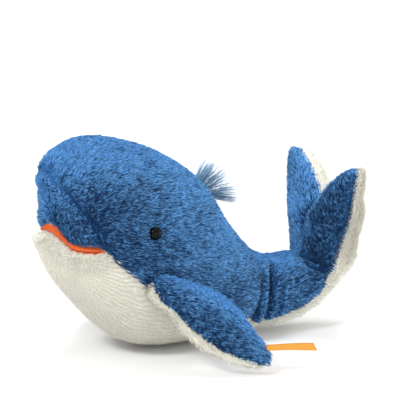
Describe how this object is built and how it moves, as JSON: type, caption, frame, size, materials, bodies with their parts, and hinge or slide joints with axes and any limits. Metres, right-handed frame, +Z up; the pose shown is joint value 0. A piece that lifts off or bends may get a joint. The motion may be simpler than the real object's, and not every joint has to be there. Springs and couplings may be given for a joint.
{
  "type": "plush whale",
  "caption": "Stuffed plush baby whale with a raised head, curled tail with upright flukes, sewn flippers, a hair tuft and a blank ribbon tag.",
  "frame": {"origin": "middle of the toy's box, on the surface that it rests on", "axes": "+Z up; -X towards the nose and +X towards the tail; -Y is the whale's left side"},
  "size_m": [0.2844, 0.264, 0.18],
  "materials": {
    "blue_plush": "deep pile",
    "white_plush": "short ribbed pile",
    "mouth_felt": "short velour",
    "eye_black": "polished",
    "washer_nylon": "moulded",
    "filling_fibre": "loose fibre",
    "hair": "long fine pile",
    "ribbon": "woven ribbon, blank"
  },
  "bodies": {
    "body": {"back_left_panel": "blue_plush", "back_right_panel": "blue_plush", "snout_panel": "blue_plush", "belly_panel": "white_plush", "body_stuffing": "filling_fibre", "mouth_lining": "mouth_felt", "left_eye": "eye_black", "right_eye": "eye_black", "left_eye_washer": "washer_nylon", "right_eye_washer": "washer_nylon", "hair_tuft": "hair"},
    "tail": {"tail_top_panel": "blue_plush", "tail_belly_panel": "white_plush", "tail_stuffing": "filling_fibre"},
    "flukes": {"left_fluke_top": "blue_plush", "left_fluke_underside": "white_plush", "left_fluke_stuffing": "filling_fibre", "right_fluke_top": "blue_plush", "right_fluke_underside": "white_plush", "right_fluke_stuffing": "filling_fibre"},
    "left_flipper": {"left_flipper_top": "blue_plush", "left_flipper_underside": "white_plush", "left_flipper_stuffing": "filling_fibre"},
    "right_flipper": {"right_flipper_top": "blue_plush", "right_flipper_underside": "white_plush", "right_flipper_stuffing": "filling_fibre"},
    "tag": {"ribbon_tag": "ribbon"}
  },
  "joints": [
    {"name": "tail_bend", "type": "hinge", "parent": "body", "child": "tail", "pos_m": [0.05631, 0.00255, 0.0355], "axis": [0, -1, 0], "range_deg": [-10, 18], "stiffness_Nm_per_rad": 0.3},
    {"name": "fluke_flex", "type": "hinge", "parent": "tail", "child": "flukes", "pos_m": [0.11931, 0.00255, 0.0595], "axis": [0, -1, 0], "range_deg": [-25, 12], "stiffness_Nm_per_rad": 0.1},
    {"name": "left_flipper_lift", "type": "hinge", "parent": "body", "child": "left_flipper", "pos_m": [-0.06051, -0.06575, 0.06079], "axis": [-0.6999, -0.2182, -0.6801], "range_deg": [0, 50], "stiffness_Nm_per_rad": 0.05},
    {"name": "right_flipper_lift", "type": "hinge", "parent": "body", "child": "right_flipper", "pos_m": [-0.06051, 0.07086, 0.06079], "axis": [0.6999, -0.2182, 0.6801], "range_deg": [0, 50], "stiffness_Nm_per_rad": 0.05},
    {"name": "tag_swing", "type": "hinge", "parent": "left_flipper", "child": "tag", "pos_m": [0.00757, -0.11946, 0.01619], "axis": [-0.2095, -0.9778, 0], "range_deg": [-20, 60], "stiffness_Nm_per_rad": 0.0004}
  ]
}
